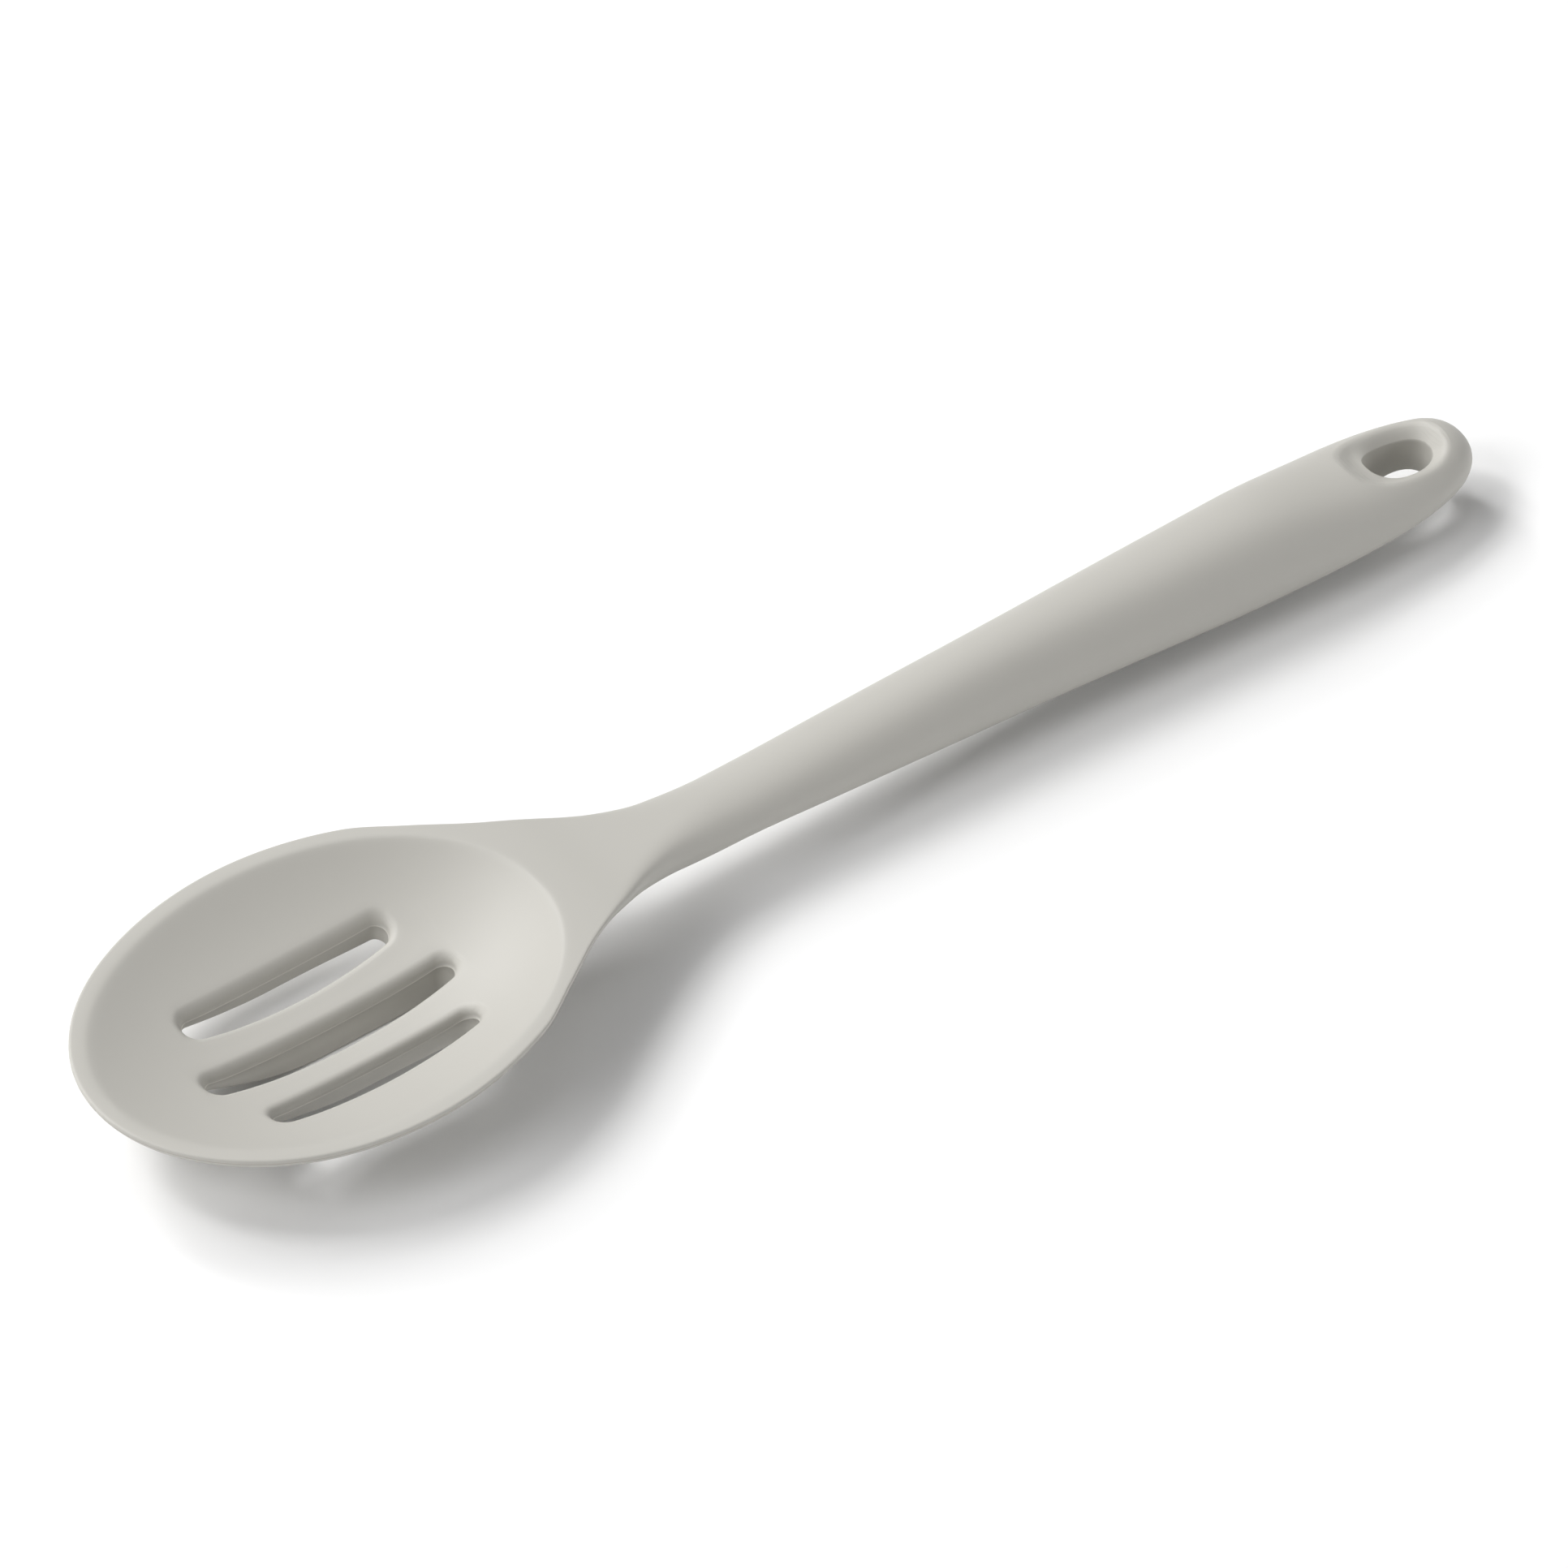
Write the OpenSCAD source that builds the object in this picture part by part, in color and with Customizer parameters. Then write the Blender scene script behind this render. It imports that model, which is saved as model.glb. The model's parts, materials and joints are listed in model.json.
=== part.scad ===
// Slotted serving spoon: a soft silicone skin moulded over a stiff nylon core.
// The spoon lies along X, bowl towards -X and handle towards +X, open side up.
// It rests on z = 0 with the bowl's underside and the handle's belly.
// Inside the functions x runs from the bowl's tip (0) to the handle's end.

/* [Whole spoon] */
// Length from the bowl's tip to the handle's end
spoon_length = 290; // [275:1:320]

/* [Bowl] */
// Widest width of the bowl
bowl_width = 70.4; // [66:0.2:76]
// Distance from the tip to the widest place
bowl_nose = 46.5; // [43:0.5:50]
// Height of the rim's top at the tip
tip_height = 17.3; // [16:0.1:20]
// Height of the rim's top at the widest place
rim_height = 18; // [17:0.1:21]
// Height of the shoulder behind the dish
shoulder_height = 19.2; // [18:0.1:22]
// Thickness of the rim's rounded edge
rim_thick = 3.2; // [2.6:0.1:4]
// Width of the rim band between the outline and the dish
rim_band = 3; // [2.4:0.1:4]
// Distance from the tip to the dish's end at the neck
dish_end = 90.5; // [87:0.5:94]
// Depth of the dish below the rim
dish_depth = 11; // [9:0.1:12.5]
// Distance from the tip to the deepest place
dish_low = 53; // [50:0.5:60]

/* [Drain slots] */
// Distance between the middle lines of neighbouring slots
slot_pitch = 13.2; // [13:0.1:15]
// Width of a slot at its ends
slot_end_w = 4.5; // [3.6:0.1:5.2]
// Width of a slot at its middle
slot_mid_w = 7.2; // [5.4:0.1:7.6]
// Length of the middle slot
mid_slot_len = 52.5; // [40:0.5:58]
// Length of each outer slot
outer_slot_len = 43; // [34:0.5:48]
// Distance from the tip to the middle of the slots
slot_at = 47; // [44:0.5:50]
// Rounding of the slots' upper edges
slot_lip = 2.4; // [1.2:0.1:2.6]

/* [Neck] */
// Width of the neck at its narrowest
neck_width = 14.7; // [13:0.1:18]
// Distance from the tip to the narrowest place
neck_at = 128; // [124:1:136]
// Height of the neck's top
neck_height = 17; // [15.5:0.1:18.5]
// Thickness of the neck at its narrowest
neck_thick = 9.5; // [8.4:0.1:11]

/* [Handle] */
// Widest width of the handle
handle_width = 22.7; // [20:0.1:26]
// Distance from the handle's end to its widest place
belly_from_end = 27.5; // [25:0.5:36]
// Height of the handle's top at its thickest, which rests on the ground
handle_height = 19.6; // [18:0.1:22]
// Thickness of the handle's end
end_thick = 11.2; // [9.8:0.1:13]
// Height of the handle's end above the ground
end_lift = 3.5; // [2:0.1:5]
// Rounding of the handle's end, seen from the side
end_round = 6; // [4:0.1:8]

/* [Hanging hole] */
// Length of the oval hole
hole_len = 13.6; // [11:0.1:15]
// Width of the oval hole
hole_w = 8.2; // [7:0.1:9]
// Distance from the handle's end to the middle of the hole
hole_from_end = 15.7; // [15:0.1:18]
// Rounding of the hole's upper edge, at the sides
recess_side = 3; // [1.5:0.1:3.2]
// Length of the soft recess towards the bowl
recess_lead = 5; // [2:0.1:6]

/* [Core] */
// Silicone over and under the core in the bowl
bowl_cover = 1.2; // [0.8:0.1:1.4]
// Silicone over the core in the neck and handle
handle_cover = 2.2; // [1.6:0.1:3]
// Silicone between the core's edge and the bowl's outline
rim_cover = 4.5; // [3.6:0.1:6]
// Silicone lining of each slot
slot_cover = 1.5; // [1:0.1:2]
// Diameter of the holes where the silicone ties through the core
tie_d = 4.5; // [3:0.1:5]
// Number of tie holes along the handle
tie_count = 4; // [2:1:5]
// Length left free between the core and the hanging hole
core_stop = 4; // [3:0.5:8]

/* [Hidden] */

// Overrun of the cuts, and the number of segments in true curves
over = 1;
$fn = 48;

// Steps of the skin's mesh across: dish, rim band, rounded edge, underside
SKIN_STEPS = [8, 2, 5, 6];
// Steps of the core's mesh across: top, underside
CORE_STEPS = [9, 6];
// Steps along: rim's nose, dish, neck and handle, handle's end
SKIN_RUNS = [4, 34, 20, 9];
// Steps along the core: dish, neck and handle, end
CORE_RUNS = [24, 16, 5];
// Points round a slot and round the hanging hole, and rows of their rounded lips
SLOT_POINTS = 56;
HOLE_POINTS = 40;
LIP_ROWS = 4;
// Turn of a lip's round where it meets the surface, in degrees
LIP_TURN = 70;

half_bowl = bowl_width / 2;
half_neck = neck_width / 2;
half_handle = handle_width / 2;
rim_r = rim_thick / 2;
half_dish = half_bowl - rim_band;
belly_at = spoon_length - belly_from_end;
hole_at = spoon_length - hole_from_end;
hole_run = (hole_len - hole_w) / 2;
core_end = hole_at - hole_len / 2 - core_stop;
end_top = end_lift + end_thick;
neck_under = neck_height - neck_thick;
// The underside is flat beside the middle slot, so that the bowl stands on its edges
flat_share = slot_mid_w / (bowl_width - 2 * rim_thick);

// Shoulder: share of the way from the widest place to the neck, share of the width left
SHOULDER_SHARES = [[0, 1], [0.3, 0.81], [0.42, 0.59], [0.54, 0.36], [0.66, 0.185],
                   [0.76, 0.06], [0.87, 0], [1, 0]];
// Handle: share of the way from the neck to the widest place, share of the growth in width
HANDLE_SHARES = [[0, 0], [0.25, 0.15], [0.45, 0.25], [0.65, 0.57], [0.83, 0.81], [1, 1]];
// Thickness: share of the way from the neck to the end, share of the handle's height
BODY_SHARES = [[0.14, 0.6], [0.34, 0.8], [0.54, 0.9], [0.7, 1], [0.84, 0.8]];
// Rim's top: share of the way from tip to widest place, share of the rise between them
RIM_SHARES = [[0, 0], [0.45, -0.18], [1, 1]];
// Top from the dish's end to the neck: share of the way, share of the fall left
FALL_SHARES = [[0.13, 0.79], [0.34, 0.3], [0.62, 0.03]];
// Top from the neck to the thickest place: share of the way, share of the rise
RISE_SHARES = [[0, 0], [0.24, 0.34], [0.5, 0.8], [0.78, 0.88], [1, 1]];
// Top at the handle's widest place: share of the rise from its end to its thickest place
BELLY_SHARE = 0.5;
// Underside from the tip to the flat: share of the way, share of the height at the tip
NOSE_SHARES = [[0, 1], [0.17, 0.86], [0.44, 0.48], [0.75, 0.12], [1, 0]];
// Underside from the flat to the neck: share of the way, share of the height at the neck
LIFT_SHARES = [[0.25, 0.11], [0.38, 0.53], [0.5, 0.88], [0.66, 0.96], [0.86, 0.97], [1, 1]];
// Change from the thin rim to the handle's oval section, from the dish's end to the neck
OVAL_SHARES = [[0.05, 0], [1.04, 1]];
// Exponents: handle's end in plan, dish towards tip and neck, underside across the bowl
END_POWER = 2.4;
DISH_POWERS = [2.1, 2.6];
KEEL_POWER = 1.6;

// Cubic through two stations p and q, with slopes a and b
function hermite(p, q, a, b, x) =
    let (l = q[0] - p[0], t = (x - p[0]) / l, s = 1 - t)
    p[1] * (1 + 2 * t) * s * s + q[1] * (3 - 2 * t) * t * t + (a * s - b * t) * l * t * s;

// Slope at station i: none at the ends and at a turn, else the mean of its two sides
function rise(p, i) = (p[i + 1][1] - p[i][1]) / (p[i + 1][0] - p[i][0]);
function slope(p, i) =
    i == 0 || i == len(p) - 1 || rise(p, i - 1) * rise(p, i) <= 0 ? 0
    : (rise(p, i - 1) + rise(p, i)) / 2;

// Smooth curve through a list of stations, level past its ends
function curve(p, x, i = 0) =
    x <= p[0][0] ? p[0][1]
    : x >= p[len(p) - 1][0] ? p[len(p) - 1][1]
    : x > p[i + 1][0] ? curve(p, x, i + 1)
    : hermite(p[i], p[i + 1], slope(p, i), slope(p, i + 1), x);

// Stations from shares: from one place and value to another
function stations(shares, x0, x1, v0, v1) =
    [for (s = shares) [x0 + s[0] * (x1 - x0), v0 + s[1] * (v1 - v0)]];

// A quarter of a rounded outline: 1 at t = 0, 0 at t = 1
function arc(t, power = 2) = pow(max(0, 1 - pow(min(1, max(0, t)), power)), 1 / power);

// Half the width of the spoon's outline at x
SHOULDER_CURVE = stations(SHOULDER_SHARES, bowl_nose, neck_at, half_neck, half_bowl);
HANDLE_CURVE = stations(HANDLE_SHARES, neck_at, belly_at, half_neck, half_handle);
function half_w(x) =
    x < bowl_nose ? half_bowl * arc((bowl_nose - x) / bowl_nose)
    : x < neck_at ? curve(SHOULDER_CURVE, x)
    : curve(HANDLE_CURVE, x) * arc((x - belly_at) / belly_from_end, END_POWER);

// Distance from a point of the plan to the outline
function inset(x, y) =
    x >= bowl_nose ? half_w(x) - abs(y)
    : (1 / norm([(bowl_nose - x) / bowl_nose, y / half_bowl]) - 1) * norm([bowl_nose - x, y]);
// Half the width of the outline drawn in by d
function drawn_w(x, d) =
    x >= bowl_nose ? max(0, half_w(x) - d)
    : x <= d ? 0
    : (half_bowl - d) * arc((bowl_nose - x) / (bowl_nose - d));

// Thickness of the neck and handle, and the places along it
BODY_CURVE = concat(
    [[neck_at, neck_thick]],
    stations(BODY_SHARES, neck_at, spoon_length, 0, handle_height),
    [[spoon_length, end_thick]]);
thickest_at = BODY_CURVE[4][0];
// Height of the top line: rim, shoulder, neck, handle and end
CROWN_CURVE = concat(
    stations(RIM_SHARES, 0, bowl_nose, tip_height, rim_height),
    [[(bowl_nose + dish_end) / 2, (rim_height + 3 * shoulder_height) / 4],
     [dish_end - 2 * rim_band, shoulder_height]],
    stations(FALL_SHARES, dish_end, neck_at, neck_height, shoulder_height),
    stations(RISE_SHARES, neck_at, thickest_at, neck_height, handle_height),
    [[belly_at, end_top + BELLY_SHARE * (handle_height - end_top)], [spoon_length, end_top]]);
function crown(x) = curve(CROWN_CURVE, x);
// Height of the underside's middle line
KEEL_CURVE = concat(
    stations(NOSE_SHARES, 0, bowl_nose, 0, tip_height - rim_thick),
    [[dish_low + rim_thick, 0]],
    stations(LIFT_SHARES, dish_low, neck_at, 0, neck_under));
function keel(x) = x < neck_at ? curve(KEEL_CURVE, x) : max(0, crown(x) - curve(BODY_CURVE, x));

// Share of the change from the bowl's thin rim to the handle's oval section
OVAL_CURVE = stations(OVAL_SHARES, dish_end, neck_at, 0, 1);
function oval(x) = curve(OVAL_CURVE, x);
// The rounded edge of a section: its width, and its height above and below its middle
function edge_w(x) = rim_r + (max(half_w(x), rim_r) - rim_r) * oval(x);
function edge_up(x) = rim_r + ((crown(x) - keel(x)) / 2 - rim_r) * oval(x);
function edge_z(x) = crown(x) - edge_up(x);
function edge_down(x) = rim_r + (edge_z(x) - keel(x) - rim_r) * (1 - pow(1 - oval(x), 2));
// Rounding of the handle's end, seen from the side
function end_share(x) = arc((x - spoon_length + end_round) / end_round);

// Half the width of the dish at x, and its depth on the middle line
function dish_w(x) =
    x <= rim_band || x >= dish_end ? 0
    : x < bowl_nose ? half_dish * arc((bowl_nose - x) / (bowl_nose - rim_band))
    : half_dish * arc((x - bowl_nose) / (dish_end - bowl_nose));
function dish_z(x) =
    x < dish_low ? dish_depth * (1 - pow((dish_low - x) / (dish_low - rim_band), DISH_POWERS[0]))
    : dish_depth * (1 - pow((x - dish_low) / (dish_end - dish_low), DISH_POWERS[1]));

// Height of the skin's top at x and y, and of its underside
function top_z(x, y) =
    let (w = dish_w(x))
    abs(y) < w ? crown(x) - dish_z(x) * (1 - pow(y / w, 2))
    : edge_z(x) + edge_up(x) * arc(1 - inset(x, y) / edge_w(x)) * end_share(x);
function under_z(x, y) =
    let (w = drawn_w(x, edge_w(x)))
    abs(y) < w
    ? keel(x) + (edge_z(x) - edge_down(x) - keel(x))
        * pow(max(0, abs(y) / w - flat_share) / (1 - flat_share), KEEL_POWER)
    : edge_z(x) - edge_down(x) * arc(1 - inset(x, y) / edge_w(x)) * end_share(x);

// Half a section of the skin: over the top to the edge, and back underneath
function skin_ring(x, n) =
    let (e = edge_w(x), w = dish_w(x), low = drawn_w(x, e), flat = max(w, low),
         edge = [for (j = [1 : n[2]]) drawn_w(x, e * (1 - sin(90 * j / n[2])))])
    concat([for (j = [0 : n[0]]) [w * sin(90 * j / n[0]), top_z(x, w * sin(90 * j / n[0]))]],
           [for (j = [1 : n[1]]) let (y = w + (flat - w) * j / n[1]) [y, top_z(x, y)]],
           [for (y = edge) [y, top_z(x, y)]],
           [for (j = [1 : n[2] - 1]) let (y = edge[n[2] - 1 - j]) [y, under_z(x, y)]],
           [for (j = [0 : n[3] - 1])
               let (y = low * (1 - (1 - flat_share) * j / (n[3] - 1))) [y, under_z(x, y)]],
           [[0, under_z(x, 0)]]);

// Silicone over the core, and beside it
function cover_z(x) = bowl_cover + (handle_cover - bowl_cover) * oval(x);
function cover_y(x) = rim_cover + (handle_cover - rim_cover) * oval(x);
// Half the width of the core at x
function core_w(x) =
    x < bowl_nose ? (half_bowl - rim_cover) * arc((bowl_nose - x) / (bowl_nose - rim_cover))
    : (half_w(x) - cover_y(x)) * arc((x - core_end + end_round) / end_round);
// Height of the core's surface: its edges and ends are round
function core_z(x, y, side) =
    let (a = top_z(x, y) - cover_z(x), b = under_z(x, y) + cover_z(x),
         ends = min((x - rim_cover) / rim_r, (core_end - x) / rim_r))
    (a + b) / 2 + side * (a - b) / 2 * arc((y - core_w(x) + rim_r) / rim_r) * arc(1 - ends);
// Half a section of the core
function core_ring(x, n) =
    let (w = core_w(x))
    concat([for (j = [0 : n[0]]) let (y = w * sin(90 * j / n[0])) [y, core_z(x, y, 1)]],
           [for (j = [1 : n[1]]) let (y = w * cos(90 * j / n[1])) [y, core_z(x, y, -1)]]);

// Places along the spoon at which sections are drawn
function skin_places(n) = concat(
    [for (j = [0 : n[0]]) rim_r * (1 - cos(90 * j / n[0]))],
    [for (j = [0 : n[1]]) (rim_band + dish_end - (dish_end - rim_band) * cos(180 * j / n[1])) / 2],
    [for (j = [1 : n[2]]) dish_end + (belly_at - dish_end) * j / n[2]],
    [for (j = [1 : n[3]]) belly_at + belly_from_end * sin(90 * j / n[3])]);
function core_places(n) = concat(
    [for (j = [0 : n[0]]) rim_cover + (dish_end - rim_cover) * (1 - cos(180 * j / n[0])) / 2],
    [for (j = [1 : n[1]]) dish_end + (core_end - end_round - dish_end) * j / n[1]],
    [for (j = [1 : n[2]]) core_end - end_round * (1 - sin(90 * j / n[2]))]);

// A closed solid through half sections, each mirrored to make a ring. Point 0 is on the top's
// middle line, point `edge` at the side and the last one on the keel. Points that fall
// together on the middle line share one corner, and the faces between them are left out
module sweep(places, halves, edge) {
    last = len(halves[0]) - 1;
    count = 2 * last;
    seam = over / pow(10, 4);
    points = [for (i = [0 : len(places) - 1], j = [0 : count - 1])
        j <= last ? [places[i], halves[i][j][0], halves[i][j][1]]
        : [places[i], -halves[i][count - j][0], halves[i][count - j][1]]];
    function corner(i, j) =
        let (k = j % count, h = k <= last ? k : count - k)
        i * count + (halves[i][edge][0] < seam ? 0 : halves[i][h][0] > seam ? k
                     : h <= edge ? 0 : last);
    faces = [for (i = [0 : len(places) - 2], j = [0 : count - 1])
        let (a = corner(i, j), b = corner(i, j + 1), c = corner(i + 1, j + 1), d = corner(i + 1, j))
        each [[a, b, c], [a, c, d]]];
    polyhedron(points, [for (f = faces) if (f[0] != f[1] && f[1] != f[2] && f[2] != f[0]) f]);
}

module spoon_body() {
    n = SKIN_STEPS;
    places = skin_places(SKIN_RUNS);
    sweep(places, [for (x = places) skin_ring(x, n)], n[0] + n[1] + n[2]);
}

module core_body() {
    n = CORE_STEPS;
    places = core_places(CORE_RUNS);
    sweep(places, [for (x = places) core_ring(x, n)], n[0]);
}

// Outline of a slot, grown by g: narrow round ends and gently bowed sides
function slot_point(length, a, g) =
    let (s = cos(a) * length / 2, r = slot_end_w / 2, end = max(0, (abs(s) - length / 2 + r) / r),
         half = r + (slot_mid_w - slot_end_w) / 2 * (1 - pow(2 * s / length, 2)))
    [s + sign(s) * g * end, sign(sin(a)) * (half + g) * arc(end)];
function slot_turn(j) = 360 * (j + 0.5) / SLOT_POINTS;
function slot_len(k) = k == 0 ? mid_slot_len : outer_slot_len;

module slots(g) {
    for (k = [-1 : 1])
        translate([slot_at, k * slot_pitch, -over])
            linear_extrude(shoulder_height + 2 * over)
                polygon([for (j = [0 : SLOT_POINTS - 1]) slot_point(slot_len(k), slot_turn(j), g)]);
}

// A lip's profile: how far out and how far up it is at row i, as shares of its round.
// It starts inside the hole, turns along the round, leaves the surface at a slant and rises
LIP_START_SHARE = 0.1;
LIP_LEAVE_SHARE = 0.5;
function lip_row(i) =
    let (turn = LIP_TURN * min(i, LIP_ROWS) / LIP_ROWS,
         past = i > LIP_ROWS ? LIP_LEAVE_SHARE : 0)
    i == 0 ? [-LIP_START_SHARE, -2 * LIP_START_SHARE]
    : [1 - cos(turn) + past * sin(turn), sin(turn) + past * cos(turn) + max(0, i - LIP_ROWS - 1)];

// A cutter that rounds an edge: rings of points that are stacked, each with the same count
module flare(rings) {
    n = len(rings[0]);
    top = (len(rings) - 1) * n;
    strips = [for (j = [0 : n / 2 - 2]) each [[j, n - 2 - j, j + 1], [j, n - 1 - j, n - 2 - j]]];
    polyhedron([for (r = rings) each r], concat(
        [for (i = [0 : len(rings) - 2], j = [0 : n - 1])
            let (a = i * n + j, b = i * n + (j + 1) % n)
            each [[a, a + n, b + n], [a, b + n, b]]],
        [for (f = strips) [f[0], f[2], f[1]]],
        [for (f = strips) [top + f[0], top + f[1], top + f[2]]]));
}

module slot_lips() {
    for (k = [-1 : 1])
        flare([for (i = [0 : LIP_ROWS + 2])
            let (row = lip_row(i) * slot_lip)
            [for (j = [0 : SLOT_POINTS - 1])
                let (p = slot_point(slot_len(k), slot_turn(j), row[0]),
                     x = slot_at + p[0], y = k * slot_pitch + p[1])
                [x, y, top_z(x, y) - slot_lip + row[1]]]]);
}

// Oval hole: two round ends and the straight run between them
module hanging_hole() {
    translate([hole_at, 0, -over]) {
        for (s = [-1, 1])
            translate([s * hole_run, 0, 0]) cylinder(d = hole_w, h = handle_height + 2 * over);
        translate([-hole_run, -hole_w / 2, 0])
            cube([2 * hole_run, hole_w, handle_height + 2 * over]);
    }
}

// Soft recess round the hole, drawn out towards the bowl
module hole_recess() {
    flare([for (i = [0 : LIP_ROWS + 2])
        [for (j = [0 : HOLE_POINTS - 1])
            let (a = 360 * (j + 0.5) / HOLE_POINTS, row = lip_row(i),
                 reach = cos(a) < 0 ? recess_side + (recess_lead - recess_side) * pow(cos(a), 2)
                         : recess_side,
                 r = hole_w / 2 + reach * row[0],
                 x = hole_at + sign(cos(a)) * hole_run + r * cos(a), y = r * sin(a))
            [x, y, top_z(x, y) + recess_side * (row[1] - 1)]]]);
}

// Holes through the core's bar, which the silicone fills
module ties() {
    from = neck_at + tie_d;
    step = (core_end - 2 * tie_d - from) / (tie_count - 1);
    for (k = [0 : tie_count - 1])
        translate([from + k * step, 0, -over]) cylinder(d = tie_d, h = handle_height + 2 * over);
}

module core_solid() {
    difference() {
        core_body();
        slots(slot_cover);
        ties();
    }
}

module silicone_skin() {
    color("#d3cfc8")
        translate([-spoon_length / 2, 0, 0])
            difference() {
                spoon_body();
                core_solid();
                slots(0);
                slot_lips();
                hanging_hole();
                hole_recess();
            }
}

module stiff_core() {
    color("#77736c")
        translate([-spoon_length / 2, 0, 0])
            core_solid();
}

silicone_skin();
stiff_core();
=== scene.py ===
# %% [markdown]
# # A slotted serving spoon
#
# This lesson dresses a kitchen spoon with three drain slots. The real spoon is a stiff nylon bar and
# plate with one soft silicone skin moulded over it, so that nothing on the outside is screwed, clipped
# or glued. The solids come from the CAD model. The skin is drawn again here, because a render shows
# every edge that a mould leaves soft, and a coarse mesh would show as facets there.

# %% Load the solids
import json

import bmesh
import bpy
import numpy as np
from mathutils import Matrix, Vector

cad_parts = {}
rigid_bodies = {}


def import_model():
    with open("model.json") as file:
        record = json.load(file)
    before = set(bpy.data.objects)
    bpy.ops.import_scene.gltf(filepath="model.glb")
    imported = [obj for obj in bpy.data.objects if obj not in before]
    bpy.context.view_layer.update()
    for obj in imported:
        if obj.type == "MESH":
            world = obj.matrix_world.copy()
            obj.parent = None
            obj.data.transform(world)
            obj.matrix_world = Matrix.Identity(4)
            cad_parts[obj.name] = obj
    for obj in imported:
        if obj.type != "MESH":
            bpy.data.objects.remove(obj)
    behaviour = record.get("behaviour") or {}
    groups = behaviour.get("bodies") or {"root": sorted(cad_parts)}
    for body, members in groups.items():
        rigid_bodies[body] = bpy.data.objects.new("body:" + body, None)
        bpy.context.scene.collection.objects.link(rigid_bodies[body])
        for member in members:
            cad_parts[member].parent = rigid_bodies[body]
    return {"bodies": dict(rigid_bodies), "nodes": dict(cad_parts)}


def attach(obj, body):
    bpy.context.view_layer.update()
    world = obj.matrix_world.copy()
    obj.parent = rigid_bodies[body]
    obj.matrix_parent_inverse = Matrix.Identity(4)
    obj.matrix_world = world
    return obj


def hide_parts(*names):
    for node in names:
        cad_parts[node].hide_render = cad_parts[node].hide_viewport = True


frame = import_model()
BODY = next(iter(frame["bodies"]))
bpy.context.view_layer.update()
print("body:", BODY, "solids:", sorted(frame["nodes"]))

# %% [markdown]
# ## Sizes
#
# All sizes are the spoon's real ones in millimetres, counted from the bowl's tip. Most are the same
# numbers as in the solid, so the drawn skin and the solid skin stay on top of each other. The rim and
# the openings differ a little. The solid's rim is a full round 3.2 mm thick, and the real rim is
# thinner with a tight edge, so the drawn top lies 0.9 mm lower, which leaves the outline in its place.
# The openings were set against the photograph once more. The slots are about 1 mm shorter and 0.5 mm
# narrower, with tighter lips and walls that lean in, and the hole is 0.6 mm wider and 1.3 mm nearer the
# handle's end.

# %% Sizes in millimetres
MM = 0.001
LENGTH = 290.0
BOWL_WIDTH, BOWL_NOSE = 70.4, 46.5
TIP_TOP, RIM_TOP, SHOULDER_TOP = 16.4, 17.1, 18.3
RIM_RISE, RIM_FALL, RIM_ROUND, RIM_BAND = 0.8, 1.5, 1.0, 3.0
DISH_END, DISH_DEPTH, DISH_LOW = 90.5, 11.0, 53.0
NECK_WIDTH, NECK_AT, NECK_TOP, NECK_THICK = 14.7, 128.0, 17.0, 9.5
HANDLE_WIDTH, BELLY_FROM_END, HANDLE_TOP = 22.7, 27.5, 19.6
END_THICK, END_LIFT, END_ROUND, END_POWER = 11.2, 3.5, 6.0, 2.4

HALF_BOWL, HALF_NECK, HALF_HANDLE = BOWL_WIDTH / 2, NECK_WIDTH / 2, HANDLE_WIDTH / 2
HALF_DISH, RIM_THICK = HALF_BOWL - RIM_BAND, RIM_RISE + RIM_FALL
BELLY_AT = LENGTH - BELLY_FROM_END
END_TOP = END_LIFT + END_THICK
NECK_UNDER = NECK_TOP - NECK_THICK
print("bowl", BOWL_WIDTH, "x", DISH_END, "mm, handle", HANDLE_WIDTH, "mm wide, length", LENGTH, "mm")

# %% Openings in millimetres
SLOT_PITCH = 13.2
SLOT_END_W, SLOT_MID_W, DRAFT = 4.5, 6.7, 0.4
SLOT_UNDER_W, SLOT_MID_UNDER_W = 4.1, 3.2
SLOTS = {"middle": (47.6, 51.3), "outer": (47.7, 42.4)}
HOLE_LEN, HOLE_W, HOLE_AT = 13.6, 8.8, LENGTH - 14.4
ABOVE = {"lip": 1.65, "side": 2.8, "lead": 5.4, "deep": 2.8, "middle": (SLOT_END_W, SLOT_MID_W),
         "outer": (SLOT_END_W, SLOT_MID_W)}
BELOW = {"lip": 0.5, "side": 4.0, "lead": 4.0, "deep": 1.9, "middle": (SLOT_UNDER_W, SLOT_MID_UNDER_W),
         "outer": (SLOT_UNDER_W, SLOT_MID_W - DRAFT)}
print("slots' places and lengths", SLOTS, "mm, hanging hole", HOLE_LEN, "x", HOLE_W, "mm")

# %% [markdown]
# ## Lines that run along the spoon
#
# A mould maker draws a spoon with a few long lines: the outline seen from above, the top line and the
# keel line seen from the side. Each line is a smooth curve through a handful of stations.


# %% A smooth curve through stations
def curve(stations, x):
    """Height of a smooth line at x. Between two stations it is a cubic that starts and ends with the
    mean slope of the two neighbouring chords, or level where the line turns round or ends."""
    p = np.asarray(stations, float)
    x = np.asarray(x, float)
    chord = np.diff(p[:, 1]) / np.diff(p[:, 0])
    slope = np.zeros(len(p))
    slope[1:-1] = np.where(chord[:-1] * chord[1:] <= 0, 0, (chord[:-1] + chord[1:]) / 2)
    i = np.clip(np.searchsorted(p[:, 0], x, side="left") - 1, 0, len(p) - 2)
    run = p[i + 1, 0] - p[i, 0]
    t = np.clip((x - p[i, 0]) / run, 0, 1)
    s = 1 - t
    ends = p[i, 1] * (1 + 2 * t) * s * s + p[i + 1, 1] * (3 - 2 * t) * t * t
    return ends + (slope[i] * s - slope[i + 1] * t) * run * t * s


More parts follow.
